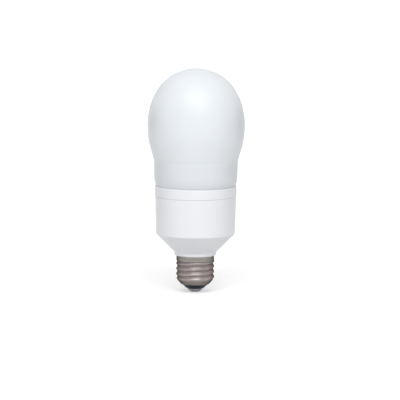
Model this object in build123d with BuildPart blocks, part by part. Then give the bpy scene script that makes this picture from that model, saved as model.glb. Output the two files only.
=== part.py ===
from build123d import *
import os
from math import acos, asin, atan2, ceil, cos, degrees, radians, sin, sqrt, tan

# Energy saving bulb: an opal glass globe held by a collar on a moulded ballast housing, with a metal
# screw cap at the foot. Lengths are in millimetres, angles in degrees.
# The bulb is upright on the Z axis, and the origin is the tip of its centre contact.

# Radial play where a plain foot, neck or stem stands in its seat
fit_clearance = 0.05

# Solder nub and centre contact
nub_height = 0.35
nub_diameter = 6.0
nub_flat_diameter = 4.0
eye_diameter = 1.8
contact_diameter = 9.9
contact_thickness = 2.35
contact_rim_width = 1.85
contact_rim_height = 0.7
contact_bulge = 0.2
stem_wall = 1.1
stem_height = 1.9

# Glass insulator, of which the drop below the shell's mouth shows
insulator_drop = 3.1
insulator_margin = 1.1
insulator_bulge = 0.08

# Screw shell with its round thread
cap_height = 20.0
thread_major_diameter = 26.3
thread_depth = 0.84
thread_pitch = 25.4 / 7
lowest_front_crest = 4.15
root_land_width = 0.6
shell_wall = 0.36
band_inset = 0.15
band_height = 3.4
band_bevel = 1.1
mouth_inset = 3.25
flank_angle = 48.0
shoulder_rounding = 7.0
crest_room = 0.2
fade_height = 1.4
fade_inset = 0.15

# Ballast housing: lip, cone and barrel
lip_overhang = 1.45
lip_height = 2.3
lip_rounding = 0.8
cone_foot_rounding = 1.5
cone_height = 12.75
barrel_foot_diameter = 54.4
barrel_foot_rounding = 0.8
barrel_height = 26.05
barrel_rim_diameter = 56.0
barrel_rim_rounding = 0.3
rim_wall = 1.95

# Collar between the housing and the globe
collar_height = 7.1
collar_step = 0.2
collar_flare = 0.1
collar_wall = 1.2
collar_foot_rounding = 0.4
collar_rim_rounding = 0.55
mouth_bevel = 0.6
mouth_depth = 1.5
skirt_depth = 3.0
skirt_thickness = 1.5

# Opal globe, from the foot in the collar to the crown
foot_depth = 4.4
neck_overhang = 1.7
neck_rise = 6.4
neck_taper = 1.8
neck_curl_radius = 20.0
waist_rise = 17.8
waist_radius = 9.0
flank_length = 7.6
globe_diameter = 67.6
equator_rise = 42.2
shoulder_turn = 29.4
crown_rise = 39.1

# Levels, from the contact's tip upwards
contact_level = nub_height
insulator_level = contact_level + contact_thickness
mouth_level = insulator_level + insulator_drop
lip_level = mouth_level + cap_height
band_level = lip_level - band_height
cone_level = lip_level + lip_height
barrel_level = cone_level + cone_height
rim_level = barrel_level + barrel_height
seam_level = rim_level + collar_height
foot_level = seam_level - foot_depth
neck_level = seam_level + neck_rise
waist_level = seam_level + waist_rise
equator_level = seam_level + equator_rise

# Radii that seat the pieces in one another
contact_radius = contact_diameter / 2
stem_radius = eye_diameter / 2 + stem_wall
band_radius = thread_major_diameter / 2 - band_inset
lip_radius = band_radius + lip_overhang
rim_radius = barrel_rim_diameter / 2
groove_radius = rim_radius - rim_wall
skirt_radius = groove_radius - fit_clearance
ledge_radius = skirt_radius - skirt_thickness
boss_radius = ledge_radius - fit_clearance
collar_foot_radius = rim_radius + collar_step
collar_rim_radius = collar_foot_radius + collar_flare
collar_bore_radius = collar_rim_radius - collar_wall
foot_radius = collar_bore_radius - fit_clearance
neck_radius = foot_radius + neck_overhang

# Thread wave: crest and root are arcs of one radius, which meet at their steepest point
thread_rounding = thread_pitch**2 / (16 * thread_depth) + thread_depth / 4
crest_turn = degrees(asin(thread_pitch / 4 / thread_rounding))
crest_radius = thread_major_diameter / 2
minor_radius = crest_radius - thread_depth
land_rise = thread_rounding - sqrt(thread_rounding**2 - (root_land_width / 2) ** 2)
root_radius = minor_radius + land_rise
bore_radius = minor_radius - shell_wall

# Shell's mouth: a flank and a rounded shoulder outside, and the same inside, a wall's thickness away
flank_sin = sin(radians(flank_angle))
flank_cos = cos(radians(flank_angle))
mouth_rim_radius = crest_radius - mouth_inset
mouth_radius = mouth_rim_radius - shell_wall / flank_sin
envelope_radius = crest_radius + crest_room
corner_level = mouth_level + (envelope_radius - mouth_rim_radius) * flank_sin / flank_cos
shoulder_centre_radius = envelope_radius - shoulder_rounding
shoulder_centre_level = corner_level + shoulder_rounding * (1 - flank_sin) / flank_cos
inner_rounding = shoulder_rounding - shell_wall
flank_end_radius = shoulder_centre_radius + inner_rounding * flank_sin
flank_end_level = shoulder_centre_level - inner_rounding * flank_cos
plug_level = shoulder_centre_level - sqrt(inner_rounding**2 - (bore_radius - shoulder_centre_radius) ** 2)


# Solder that fills the contact's eye and stands proud of it
with BuildPart() as contact_solder:
    with BuildSketch(Plane.XZ):
        with BuildLine():
            nub_side = SagittaArc(
                (nub_flat_diameter / 2, 0),
                (nub_diameter / 2, contact_level),
                -nub_height / 4,
            )
            Polyline(
                nub_side @ 1,
                (eye_diameter / 2, contact_level),
                (eye_diameter / 2, insulator_level + stem_height),
                (0, insulator_level + stem_height),
                (0, 0),
                nub_side @ 0,
            )
        make_face()
    revolve(axis=Axis.Z)


# Centre contact: a dished disc with a hollow stem, like an eyelet
with BuildPart() as centre_contact:
    with BuildSketch(Plane.XZ):
        with BuildLine():
            dish = SagittaArc(
                (contact_radius - contact_rim_width, contact_level),
                (contact_radius, insulator_level - contact_rim_height),
                -contact_bulge,
            )
            Polyline(
                dish @ 1,
                (contact_radius, insulator_level),
                (stem_radius, insulator_level),
                (stem_radius, insulator_level + stem_height),
                (eye_diameter / 2, insulator_level + stem_height),
                (eye_diameter / 2, contact_level),
                dish @ 0,
            )
        make_face()
    revolve(axis=Axis.Z)


# Glass insulator: fills the shell's mouth up to the housing's plug and bulges out below it
with BuildPart() as insulator:
    with BuildSketch(Plane.XZ):
        with BuildLine():
            bulge = SagittaArc(
                (contact_radius + insulator_margin, insulator_level),
                (mouth_radius, mouth_level),
                -insulator_bulge,
            )
            flank = Line(bulge @ 1, (flank_end_radius, flank_end_level))
            shoulder = TangentArc(flank @ 1, (bore_radius, plug_level), tangent=flank % 1)
            Polyline(
                shoulder @ 1,
                (0, plug_level),
                (0, insulator_level),
                bulge @ 0,
            )
        make_face()
    revolve(axis=Axis.Z)
    with Locations((0, 0, insulator_level)):
        Cylinder(
            stem_radius + fit_clearance,
            stem_height,
            align=(Align.CENTER, Align.CENTER, Align.MIN),
            mode=Mode.SUBTRACT,
        )


# One turn of the thread: a ridge of round profile, with its base inside the shell's wall
with BuildPart() as ridge_turn:
    thread_start = mouth_level + lowest_front_crest - 1.75 * thread_pitch
    ridge_base_radius = bore_radius + shell_wall / 2
    root_turn = 0.9 * crest_turn
    with BuildLine():
        Helix(pitch=thread_pitch, height=thread_pitch, radius=crest_radius, center=(0, 0, thread_start))
    with BuildSketch(Plane.XZ):
        with BuildLine():
            crest = (crest_radius, thread_start)
            upper_crest = JernArc(crest, (0, 1), thread_rounding, crest_turn)
            upper_root = JernArc(upper_crest @ 1, upper_crest % 1, thread_rounding, -root_turn)
            lower_crest = JernArc(crest, (0, -1), thread_rounding, -crest_turn)
            lower_root = JernArc(lower_crest @ 1, lower_crest % 1, thread_rounding, root_turn)
            Polyline(
                upper_root @ 1,
                (ridge_base_radius, (upper_root @ 1).Y),
                (ridge_base_radius, (lower_root @ 1).Y),
                lower_root @ 1,
            )
        make_face()
    sweep(is_frenet=True)


# Screw shell: a threaded blank, longer than the shell, trimmed to the envelope that the thread runs out in
with BuildPart() as screw_shell:
    thread_turns = ceil((band_level + fade_height / 2 - thread_start) / thread_pitch)
    blank_level = thread_start - thread_pitch
    blank_height = lip_level + 2 * thread_pitch - blank_level
    with Locations((0, 0, blank_level)):
        Cylinder(root_radius, blank_height, align=(Align.CENTER, Align.CENTER, Align.MIN))
    with Locations([(0, 0, turn * thread_pitch) for turn in range(thread_turns)]):
        add(ridge_turn.part)

    # Below, the envelope is the shell's rounded flank. Above, the crests fade into the band.
    with BuildSketch(Plane.XZ):
        faded_radius = band_radius - fade_inset
        with Locations((0, blank_level)):
            Rectangle(2 * crest_radius, blank_height, align=(Align.MIN, Align.MIN))
        with BuildLine():
            shoulder = FilletPolyline(
                (mouth_rim_radius, mouth_level),
                (envelope_radius, corner_level),
                (envelope_radius, band_level - fade_height / 2),
                radius=shoulder_rounding,
            )
            Polyline(
                shoulder @ 1,
                (faded_radius, band_level + fade_height / 2),
                (faded_radius, lip_level),
                (0, lip_level),
                (0, mouth_level),
                shoulder @ 0,
            )
        make_face(mode=Mode.SUBTRACT)
    revolve(axis=Axis.Z, mode=Mode.SUBTRACT)

    # Plain band under the housing's lip
    with BuildSketch(Plane.XZ):
        with BuildLine():
            Polyline(
                (ridge_base_radius, band_level - band_bevel),
                (root_radius, band_level - band_bevel),
                (band_radius, band_level),
                (band_radius, lip_level),
                (ridge_base_radius, lip_level),
                close=True,
            )
        make_face()
    revolve(axis=Axis.Z)

    # Bore for the housing's plug, with the inner flank that the insulator fills
    with BuildSketch(Plane.XZ):
        with BuildLine():
            flank = Line((mouth_radius, mouth_level), (flank_end_radius, flank_end_level))
            shoulder = TangentArc(flank @ 1, (bore_radius, plug_level), tangent=flank % 1)
            Polyline(
                shoulder @ 1,
                (bore_radius, lip_level),
                (0, lip_level),
                (0, mouth_level),
                flank @ 0,
            )
        make_face()
    revolve(axis=Axis.Z, mode=Mode.SUBTRACT)


# Ballast housing: plug inside the cap, lip, cone, barrel, and the boss that the globe's foot stands on
with BuildPart() as housing:
    with BuildSketch(Plane.XZ):
        plug_radius = bore_radius - fit_clearance
        with BuildLine():
            outside = FilletPolyline(
                (plug_radius, lip_level),
                (lip_radius, lip_level),
                (lip_radius, cone_level),
                (barrel_foot_diameter / 2, barrel_level),
                (rim_radius, rim_level),
                (groove_radius, rim_level),
                radius=[lip_rounding, cone_foot_rounding, barrel_foot_rounding, barrel_rim_rounding],
            )
            Polyline(
                outside @ 1,
                (groove_radius, rim_level - skirt_depth),
                (boss_radius, rim_level - skirt_depth),
                (boss_radius, foot_level),
                (0, foot_level),
                (0, plug_level),
                (plug_radius, plug_level),
                outside @ 0,
            )
        make_face()
    revolve(axis=Axis.Z)


# Collar: outer wall, mouth, ledge for the globe's foot, and the skirt in the housing's groove
with BuildPart() as collar:
    with BuildSketch(Plane.XZ):
        with BuildLine():
            wall = FilletPolyline(
                (skirt_radius, rim_level),
                (collar_foot_radius, rim_level),
                (collar_rim_radius, seam_level),
                (collar_bore_radius + mouth_bevel, seam_level),
                radius=[collar_foot_rounding, collar_rim_rounding],
            )
            Polyline(
                wall @ 1,
                (collar_bore_radius, seam_level - mouth_depth),
                (collar_bore_radius, foot_level),
                (ledge_radius, foot_level),
                (ledge_radius, rim_level - skirt_depth),
                (skirt_radius, rim_level - skirt_depth),
                wall @ 0,
            )
        make_face()
    revolve(axis=Axis.Z)


# Globe: foot, curled-in neck, waist, flank and belly up to the equator, then shoulder and crown
with BuildPart() as globe:
    with BuildSketch(Plane.XZ):
        globe_radius = globe_diameter / 2
        equator = (globe_radius, equator_level)
        neck_point = (neck_radius, neck_level)
        waist_corner_radius = neck_radius + (waist_level - neck_level) * tan(radians(neck_taper))
        waist_corner = (waist_corner_radius, waist_level)

        # Shoulder and crown: two arcs that share a tangent, the second centred on the axis
        turn_sin = sin(radians(shoulder_turn))
        turn_cos = cos(radians(shoulder_turn))
        crown_radius = (globe_radius * turn_sin - crown_rise * (1 - turn_cos)) / (turn_sin + turn_cos - 1)
        shoulder_radius = (crown_rise - crown_radius * (1 - turn_sin)) / turn_sin

        # Belly: an arc from the equator that runs into the straight flank above the waist's corner
        belly_drop = equator_level - waist_level
        belly_turn = 2 * atan2(globe_radius - waist_corner_radius, belly_drop + flank_length)
        belly_radius = (belly_drop - flank_length * cos(belly_turn)) / sin(belly_turn)

        curl_turn = degrees(acos(cos(radians(neck_taper)) - neck_overhang / neck_curl_radius)) - neck_taper
        with BuildLine():
            shoulder_arc = JernArc(equator, (0, 1), shoulder_radius, shoulder_turn)
            crown_arc = JernArc(shoulder_arc @ 1, shoulder_arc % 1, crown_radius, 90 - shoulder_turn)
            belly_arc = JernArc(equator, (0, -1), belly_radius, -degrees(belly_turn))
            waist = FilletPolyline(belly_arc @ 1, waist_corner, neck_point, radius=waist_radius)
            neck_curl = JernArc(neck_point, waist % 1, neck_curl_radius, -curl_turn)
            Polyline(
                neck_curl @ 1,
                (foot_radius, foot_level),
                (0, foot_level),
                crown_arc @ 1,
            )
        make_face()
    revolve(axis=Axis.Z)


os.makedirs("parts", exist_ok=True)

globe.part.label = "globe"
export_step(globe.part, "parts/globe.step")

collar.part.label = "collar"
export_step(collar.part, "parts/collar.step")

housing.part.label = "housing"
export_step(housing.part, "parts/housing.step")

screw_shell.part.label = "screw_shell"
export_step(screw_shell.part, "parts/screw_shell.step")

insulator.part.label = "insulator"
export_step(insulator.part, "parts/insulator.step")

centre_contact.part.label = "centre_contact"
export_step(centre_contact.part, "parts/centre_contact.step")

contact_solder.part.label = "contact_solder"
export_step(contact_solder.part, "parts/contact_solder.step")
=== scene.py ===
from math import cos, radians, sin

import bpy
from mathutils import Matrix, Vector


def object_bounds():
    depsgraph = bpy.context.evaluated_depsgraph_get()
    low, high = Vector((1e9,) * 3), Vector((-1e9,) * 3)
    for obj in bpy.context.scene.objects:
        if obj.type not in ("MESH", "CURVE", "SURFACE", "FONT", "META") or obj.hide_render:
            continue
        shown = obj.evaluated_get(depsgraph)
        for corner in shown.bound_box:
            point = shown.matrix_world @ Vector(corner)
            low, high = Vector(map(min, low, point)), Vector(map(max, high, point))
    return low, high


# An energy saving bulb with an opal globe, on a pale floor under soft studio light. Lengths are in
# metres and angles in degrees. The bulb stands on the Z axis with the tip of its centre contact at the
# origin.
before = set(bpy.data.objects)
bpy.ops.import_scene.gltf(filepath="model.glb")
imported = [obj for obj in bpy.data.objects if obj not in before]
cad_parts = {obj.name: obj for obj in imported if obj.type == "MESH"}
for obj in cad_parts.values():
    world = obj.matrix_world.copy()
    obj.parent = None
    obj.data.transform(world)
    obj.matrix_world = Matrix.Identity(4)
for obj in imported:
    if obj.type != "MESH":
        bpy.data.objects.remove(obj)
cad_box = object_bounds()

MM = 0.001

# Camera: a long lens, a little above the bulb, rolled so that the bulb leans as it does in the photo. Its
# sensor is in millimetres, as Blender takes it
CAMERA_ELEVATION = 7.0
CAMERA_DISTANCE = 2.0
CAMERA_ROLL = -0.44
VIEW_WIDTH = 276.4 * MM
AIM_POINT = (3.0 * MM, 0.0, 64.0 * MM)
SENSOR_WIDTH = 36.0

# Light: a softbox in front and above, and a surround that weakens overhead and towards the back but is
# white where it is seen
SOFTBOX_ELEVATION = 48.0
SOFTBOX_DISTANCE = 1.6
SOFTBOX_SIZE = (1.3, 1.0)
SOFTBOX_WATTS = 13.5
FRONT_STRENGTH = 0.88
BACK_STRENGTH = 0.5
OVERHEAD_LOSS = 0.26
SEEN_STRENGTH = 1.0

# Flags: a black board at either side, clear of the floor, which would darken at its foot
FLAG_AZIMUTH = 106.0
FLAG_DISTANCE = 0.55
FLAG_FOOT = 20 * MM
FLAG_TOP = 175 * MM
LEFT_FLAG_WIDTH = 0.6
RIGHT_FLAG_WIDTH = 0.8
FLAG_ROUGHNESS = 0.9

# Floor: it glows a little under the bulb, and more towards the distance, where the softbox reaches less
FLOOR_RADIUS = 9.0
FLOOR_COLOUR = (0.78, 0.78, 0.78, 1.0)
FLOOR_GLOW = 0.45
HORIZON_GLOW = 1.0
NEAR_FLOOR = 0.3
FAR_FLOOR = 1.2

# Heights above the tip where painted shade or a painted highlight changes
THREAD_TO_BAND = (19 * MM, 23 * MM)
NECK_TO_BELLY = (89 * MM, 94 * MM)
BELLY_TO_CROWN = (98 * MM, 125 * MM)

# Distances from the axis where the thread's painted shade and its roughness change
GROOVE_TO_SIDE = (12.35 * MM, 12.75 * MM)
SIDE_TO_CREST = (12.5 * MM, 13.1 * MM)

# Tones: each surface is clouded from its first to its second
OPAL_COAT_TONE = ((0.813, 0.845, 0.875), (0.843, 0.875, 0.905))
# Painted shade: the coat's tone darkened at the neck and the crown
OPAL_PAINTED_SHADE = ((0.729, 0.758, 0.791), (0.754, 0.783, 0.816))
WHITE_PLASTIC = ((0.82, 0.835, 0.86), (0.85, 0.86, 0.885))
# Painted light: one plating, painted darker on the band as shade and lighter and pinker on the thread as
# highlight
SHADED_BAND_METAL = ((0.255, 0.232, 0.222), (0.305, 0.28, 0.27))
HIGHLIT_THREAD_METAL = ((0.325, 0.28, 0.276), (0.385, 0.336, 0.332))
DARK_GLASS = ((0.005, 0.008, 0.024), (0.009, 0.014, 0.038))
TINNED_SHEET = ((0.16, 0.16, 0.175), (0.34, 0.34, 0.36))
SOLDER = ((0.36, 0.36, 0.37), (0.5, 0.5, 0.51))
BLACK_CLOTH = ((0.012, 0.012, 0.012), (0.02, 0.02, 0.02))
# Painted shade: the brown darkening at the bottom of the grooves and on the flank
GROOVE_SHADE_COLOUR = (0.13, 0.105, 0.092)

# How much of the opal coat's own tone is left at the crown under its painted shade, how far the painted
# shade darkens the metal at the bottom of a groove, and how much duller the metal is there
CROWN_UNSHADED_SHARE = 0.45
GROOVE_SHADE_STRENGTH = 0.5
GROOVE_DULLNESS = 1.4

# Noise keeps mostly between these two values
NOISE_RANGE = (0.3, 0.7)

# A Mix node has its sockets once for each kind of data. These are the ones for colours
MIX_FIRST, MIX_SECOND, MIX_RESULT = 6, 7, 2


def fill(tree, node, inputs):
    """Sets each input of a node to a value, or links it to a socket."""
    for name, value in inputs.items():
        if isinstance(value, bpy.types.NodeSocket):
            tree.links.new(value, node.inputs[name])
        else:
            node.inputs[name].default_value = value


def add_node(tree, kind, inputs=None, **settings):
    node = tree.nodes.new(kind)
    for name, value in settings.items():
        setattr(node, name, value)
    fill(tree, node, inputs or {})
    return node


def new_material(name):
    material = bpy.data.materials.new(name)
    material.use_nodes = True
    tree = material.node_tree
    return material, tree, tree.nodes["Principled BSDF"]


def calculate(tree, operation, first, second):
    node = add_node(tree, "ShaderNodeMath", {0: first, 1: second}, operation=operation)
    return node.outputs["Value"]


def scale_each(tree, vector, factors):
    """A vector with each of its parts multiplied by its own factor."""
    node = add_node(tree, "ShaderNodeVectorMath", {0: vector, 1: factors}, operation="MULTIPLY")
    return node.outputs["Vector"]


def place(tree):
    """Where a point is on the bulb, in metres."""
    return add_node(tree, "ShaderNodeTexCoord").outputs["Object"]


def height_above_tip(tree):
    return add_node(tree, "ShaderNodeSeparateXYZ", {0: place(tree)}).outputs["Z"]


def distance_from_axis(tree):
    flat = scale_each(tree, place(tree), (1.0, 1.0, 0.0))
    return add_node(tree, "ShaderNodeVectorMath", {0: flat}, operation="LENGTH").outputs["Value"]


def spread(tree, value, at_start, at_end, between=NOISE_RANGE):
    """Goes from at_start to at_end as the value passes between two limits, and stays there beyond them."""
    start, end = between
    inputs = {"Value": value, "From Min": start, "From Max": end, "To Min": at_start, "To Max": at_end}
    return add_node(tree, "ShaderNodeMapRange", inputs).outputs["Result"]


def noise(tree, grain, detail=3.0, squeeze=None):
    """Noise with features about as large as the grain, divided along each axis by its squeeze."""
    where = scale_each(tree, place(tree), squeeze) if squeeze else place(tree)
    node = add_node(tree, "ShaderNodeTexNoise", {"Vector": where, "Scale": 1 / grain, "Detail": detail})
    return node.outputs["Fac"]


def clouds(tree, grain, detail=3.0, squeeze=None):
    """Noise that fills the range from 0 to 1."""
    return spread(tree, noise(tree, grain, detail, squeeze), 0.0, 1.0)


def blend(tree, factor, first, second):
    """The first colour where the factor is 0 and the second where it is 1."""
    node = add_node(tree, "ShaderNodeMix", {"Factor": factor}, data_type="RGBA")
    for index, colour in ((MIX_FIRST, first), (MIX_SECOND, second)):
        if isinstance(colour, bpy.types.NodeSocket):
            tree.links.new(colour, node.inputs[index])
        else:
            node.inputs[index].default_value = (*colour, 1.0)
    return node.outputs[MIX_RESULT]


def bump(tree, pattern, depth):
    return add_node(tree, "ShaderNodeBump", {"Height": pattern, "Distance": depth}).outputs["Normal"]


def opal_glass():
    """Blown glass with a white diffusing coat inside, with painted shade at neck and crown: faint clouds,
    slow waves.
    """
    material, tree, shader = new_material("opal_glass")
    mist = clouds(tree, grain=26 * MM, detail=2.0)
    height = height_above_tip(tree)
    # Painted shade: the coat is darkened towards the neck and towards the crown
    clear_of_neck_shade = spread(tree, height, 0.0, 1.0, NECK_TO_BELLY)
    clear_of_crown_shade = spread(tree, height, 1.0, CROWN_UNSHADED_SHARE, BELLY_TO_CROWN)
    unshaded_share = calculate(tree, "MULTIPLY", clear_of_neck_shade, clear_of_crown_shade)
    shaded_coat = blend(tree, mist, *OPAL_PAINTED_SHADE)
    coat_tone = blend(tree, mist, *OPAL_COAT_TONE)
    waves = noise(tree, grain=24 * MM, detail=0.0)
    fill(tree, shader, {
        "Base Color": blend(tree, unshaded_share, shaded_coat, coat_tone),
        "Roughness": spread(tree, noise(tree, grain=8 * MM), 0.34, 0.4),
        "Normal": bump(tree, waves, depth=0.05 * MM),
        "Subsurface Weight": 0.4,
        "Subsurface Radius": (1.0, 1.0, 1.0),
        "Subsurface Scale": 5 * MM,
        "IOR": 1.5,
    })
    return material


def white_plastic():
    """Moulded plastic with faint flow marks up its length and the fine grain of a spark-eroded mould."""
    material, tree, shader = new_material("white_plastic")
    flow = clouds(tree, grain=18 * MM, detail=2.0, squeeze=(1.0, 1.0, 0.35))
    grain = noise(tree, grain=0.35 * MM, detail=4.0)
    fill(tree, shader, {
        "Base Color": blend(tree, flow, *WHITE_PLASTIC),
        "Roughness": spread(tree, noise(tree, grain=2 * MM), 0.3, 0.42),
        "Normal": bump(tree, grain, depth=0.012 * MM),
        "IOR": 1.5,
    })
    return material


def shell_metal():
    """Nickel-plated sheet, fine rolling marks: the band painted darker as shade, the thread lighter as
    highlight, the duller grooves and flank brown with painted shade.
    """
    material, tree, shader = new_material("shell_metal")
    mottle = clouds(tree, grain=4 * MM, detail=5.0)
    # Painted light: the band darker, as shade, and the thread lighter, as highlight
    on_band = spread(tree, height_above_tip(tree), 0.0, 1.0, THREAD_TO_BAND)
    metal_before_groove_shade = blend(tree, on_band, blend(tree, mottle, *HIGHLIT_THREAD_METAL), blend(tree, mottle, *SHADED_BAND_METAL))
    radius = distance_from_axis(tree)
    # Painted shade where the metal lies nearer the axis: in the grooves and on the flank
    groove_shade = spread(tree, radius, GROOVE_SHADE_STRENGTH, 0.0, GROOVE_TO_SIDE)
    dulling = spread(tree, radius, GROOVE_DULLNESS, 1.0, SIDE_TO_CREST)
    roughness = spread(tree, noise(tree, grain=1.2 * MM), 0.28, 0.33)
    marks = noise(tree, grain=2.5 * MM, detail=6.0, squeeze=(1.0, 1.0, 14.0))
    fill(tree, shader, {
        "Base Color": blend(tree, groove_shade, metal_before_groove_shade, GROOVE_SHADE_COLOUR),
        "Metallic": 1.0,
        "Roughness": calculate(tree, "MULTIPLY", roughness, dulling),
        "Normal": bump(tree, marks, depth=0.01 * MM),
        "Specular Tint": (0.05, 0.05, 0.05, 1.0),
    })
    return material


def dark_glass():
    """Near-black blue glass, pressed into the mouth of the cap."""
    material, tree, shader = new_material("dark_glass")
    ripples = noise(tree, grain=2 * MM, detail=2.0)
    fill(tree, shader, {
        "Base Color": blend(tree, clouds(tree, grain=3 * MM), *DARK_GLASS),
        "Roughness": spread(tree, noise(tree, grain=1.5 * MM), 0.1, 0.22),
        "Normal": bump(tree, ripples, depth=0.03 * MM),
        "Specular IOR Level": 0.1,
        "IOR": 1.52,
    })
    return material


def contact_metal():
    """Tinned sheet, matt and slightly mottled."""
    material, tree, shader = new_material("contact_metal")
    mottle = noise(tree, grain=1.1 * MM, detail=4.0)
    fill(tree, shader, {
        "Base Color": blend(tree, spread(tree, mottle, 0.0, 1.0), *TINNED_SHEET),
        "Metallic": 1.0,
        "Roughness": spread(tree, noise(tree, grain=0.6 * MM), 0.28, 0.45),
        "Normal": bump(tree, mottle, depth=0.03 * MM),
    })
    return material


def solder():
    """Solder, brighter than the contact, with the skin that it takes as it sets."""
    material, tree, shader = new_material("solder")
    skin = noise(tree, grain=0.7 * MM)
    fill(tree, shader, {
        "Base Color": blend(tree, spread(tree, skin, 0.0, 1.0), *SOLDER),
        "Metallic": 1.0,
        "Roughness": spread(tree, skin, 0.28, 0.38),
        "Normal": bump(tree, skin, depth=0.04 * MM),
    })
    return material


def dress(node, material):
    """Gives a CAD node its material."""
    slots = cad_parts[node].data.materials
    slots.clear()
    slots.append(material)


def seen_directly(tree):
    """1 for the rays that see the stage as a background: from the camera, a gloss or through glass."""
    rays = add_node(tree, "ShaderNodeLightPath").outputs
    seen_or_mirrored = calculate(tree, "MAXIMUM", rays["Is Camera Ray"], rays["Is Glossy Ray"])
    return calculate(tree, "MAXIMUM", seen_or_mirrored, rays["Is Transmission Ray"])


def floor_material():
    """Pale floor that keeps the bulb's shadow. It shows only from above, so it hides nothing from below."""
    material, tree, shader = new_material("floor")
    tree.nodes.remove(shader)
    diffuse = add_node(tree, "ShaderNodeBsdfDiffuse", {"Color": FLOOR_COLOUR})
    reach = distance_from_axis(tree)
    level = spread(tree, reach, FLOOR_GLOW, HORIZON_GLOW, (NEAR_FLOOR, FAR_FLOOR))
    strength = calculate(tree, "MULTIPLY", seen_directly(tree), level)
    glow = add_node(tree, "ShaderNodeEmission", {"Strength": strength})
    lit = add_node(tree, "ShaderNodeAddShader", {0: diffuse.outputs["BSDF"], 1: glow.outputs["Emission"]})
    clear = add_node(tree, "ShaderNodeBsdfTransparent")
    underside = add_node(tree, "ShaderNodeNewGeometry").outputs["Backfacing"]
    sides = {0: underside, 1: lit.outputs["Shader"], 2: clear.outputs["BSDF"]}
    surface = add_node(tree, "ShaderNodeMixShader", sides)
    fill(tree, tree.nodes["Material Output"], {"Surface": surface.outputs["Shader"]})
    return material


def black_cloth():
    material, tree, shader = new_material("flag")
    fill(tree, shader, {
        "Base Color": blend(tree, noise(tree, grain=20 * MM), *BLACK_CLOTH),
        "Roughness": FLAG_ROUGHNESS,
    })
    return material


def make_board(name, corners, material):
    """A flat piece with four corners."""
    mesh = bpy.data.meshes.new(name)
    mesh.from_pydata(corners, [], [(0, 1, 2, 3)])
    mesh.materials.append(material)
    board = bpy.data.objects.new(name, mesh)
    bpy.context.scene.collection.objects.link(board)
    return board


def make_floor():
    reach = FLOOR_RADIUS
    level = cad_box[0].z
    corners = [(-reach, -reach, level), (reach, -reach, level), (reach, reach, level), (-reach, reach, level)]
    floor = make_board("floor", corners, floor_material())


def make_flag(side, width):
    """A board beside the bulb that darkens its outlines. The camera doesn't see it."""
    azimuth = radians(FLAG_AZIMUTH)
    centre = FLAG_DISTANCE * Vector((side * sin(azimuth), -cos(azimuth), 0.0))
    across = width / 2 * Vector((side * cos(azimuth), sin(azimuth), 0.0))
    foot = Vector((0.0, 0.0, FLAG_FOOT))
    top = Vector((0.0, 0.0, FLAG_TOP))
    corners = [centre - across + foot, centre + across + foot, centre + across + top, centre - across + top]
    flag = make_board("flag", corners, black_cloth())
    flag.visible_camera = False


def make_world():
    """Light from all round, which shows white where it is seen directly."""
    world = bpy.data.worlds.new("surround")
    bpy.context.scene.world = world
    world.use_nodes = True
    tree = world.node_tree
    direction = add_node(tree, "ShaderNodeTexCoord").outputs["Generated"]
    way = add_node(tree, "ShaderNodeSeparateXYZ", {0: direction}).outputs
    level = spread(tree, way["Y"], FRONT_STRENGTH, BACK_STRENGTH, (-1.0, 1.0))
    steepness = calculate(tree, "MULTIPLY", way["Z"], way["Z"])
    overhead = calculate(tree, "MULTIPLY", steepness, OVERHEAD_LOSS)
    light = calculate(tree, "SUBTRACT", level, overhead)
    fill(tree, tree.nodes["Background"], {
        "Color": (1.0, 1.0, 1.0, 1.0),
        "Strength": spread(tree, seen_directly(tree), light, SEEN_STRENGTH, (0.0, 1.0)),
    })


def face(obj, target):
    """Turns a lamp or the camera towards a point."""
    way = Vector(target) - obj.location
    obj.rotation_mode = "QUATERNION"
    obj.rotation_quaternion = way.to_track_quat("-Z", "Y")


def in_front(point, distance, elevation):
    """A place in front of a point, at an elevation in degrees above it."""
    angle = radians(elevation)
    return point + distance * Vector((0.0, -cos(angle), sin(angle)))


def make_softbox():
    lamp = bpy.data.lights.new("softbox", "AREA")
    lamp.shape = "RECTANGLE"
    lamp.size, lamp.size_y = SOFTBOX_SIZE
    lamp.energy = SOFTBOX_WATTS
    softbox = bpy.data.objects.new("softbox", lamp)
    bpy.context.scene.collection.objects.link(softbox)
    middle = (cad_box[0] + cad_box[1]) / 2
    softbox.location = in_front(middle, SOFTBOX_DISTANCE, SOFTBOX_ELEVATION)
    face(softbox, middle)
    softbox.visible_camera = False


def make_camera():
    lens = bpy.data.cameras.new("camera")
    lens.sensor_width = SENSOR_WIDTH
    lens.lens = SENSOR_WIDTH * CAMERA_DISTANCE / VIEW_WIDTH
    lens.clip_end = 2 * FLOOR_RADIUS
    camera = bpy.data.objects.new("camera", lens)
    bpy.context.scene.collection.objects.link(camera)
    aim = Vector(AIM_POINT)
    camera.location = in_front(aim, CAMERA_DISTANCE, CAMERA_ELEVATION)
    face(camera, aim)
    turn = Matrix.Rotation(radians(-CAMERA_ROLL), 3, "Z")
    camera.rotation_quaternion = (camera.rotation_quaternion.to_matrix() @ turn).to_quaternion()
    bpy.context.scene.camera = camera


plastic = white_plastic()
dress("globe", opal_glass())
dress("collar", plastic)
dress("housing", plastic)
dress("screw_shell", shell_metal())
dress("insulator", dark_glass())
dress("centre_contact", contact_metal())
dress("contact_solder", solder())

make_floor()
make_flag(-1, LEFT_FLAG_WIDTH)
make_flag(1, RIGHT_FLAG_WIDTH)
make_world()
make_softbox()
make_camera()
bpy.context.scene.view_settings.view_transform = "Standard"
